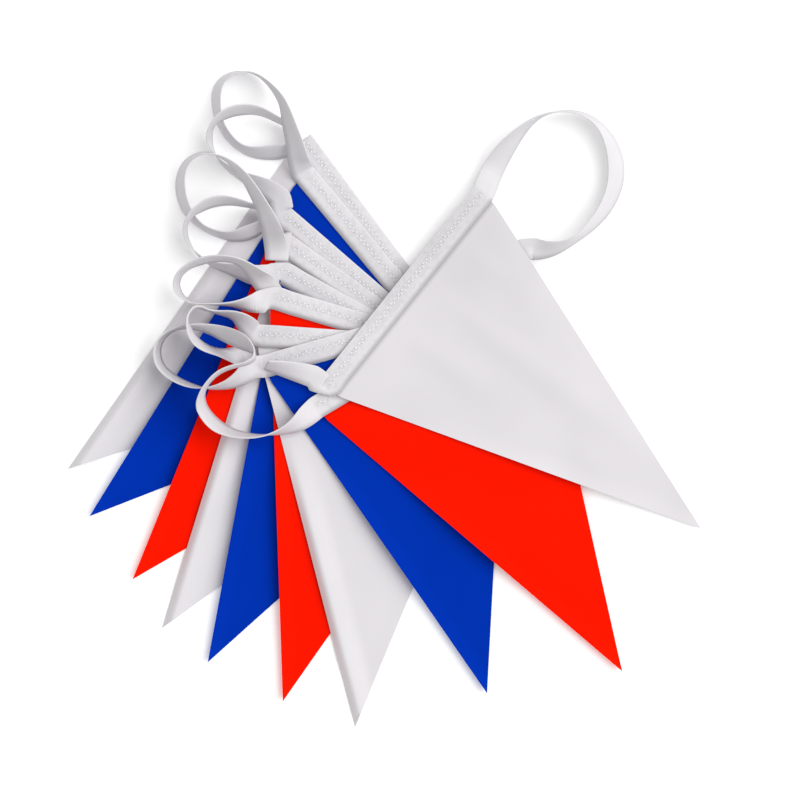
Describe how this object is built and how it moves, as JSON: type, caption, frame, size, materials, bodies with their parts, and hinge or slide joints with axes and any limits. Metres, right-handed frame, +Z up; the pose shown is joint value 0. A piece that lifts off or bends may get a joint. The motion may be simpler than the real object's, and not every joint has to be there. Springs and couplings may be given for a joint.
{
  "type": "pennant streamer",
  "caption": "String of long triangular cloth pennants sewn into one folded tape, folded back and forth into a flat fan with the tape in loose loops.",
  "frame": {"origin": "middle of the bounding box at the table the streamer lies on", "axes": "+Z up from the table, +Y towards the loops and headings, -Y towards the fan of tips, +X towards the tip of the top pennant"},
  "size_m": [0.5104, 0.53, 0.0587],
  "materials": {
    "white_cloth": "plain woven, matt with a slight sheen",
    "red_cloth": "plain woven, matt with a slight sheen",
    "blue_cloth": "plain woven, matt with a slight sheen",
    "tape": "close-woven tape, matt"
  },
  "bodies": {
    "root": {"pennant_1": "white_cloth", "pennant_2": "red_cloth", "pennant_3": "blue_cloth", "pennant_4": "white_cloth", "pennant_5": "red_cloth", "pennant_6": "blue_cloth", "pennant_7": "white_cloth", "pennant_8": "red_cloth", "pennant_9": "blue_cloth", "pennant_10": "white_cloth", "tape": "tape"}
  },
  "joints": []
}
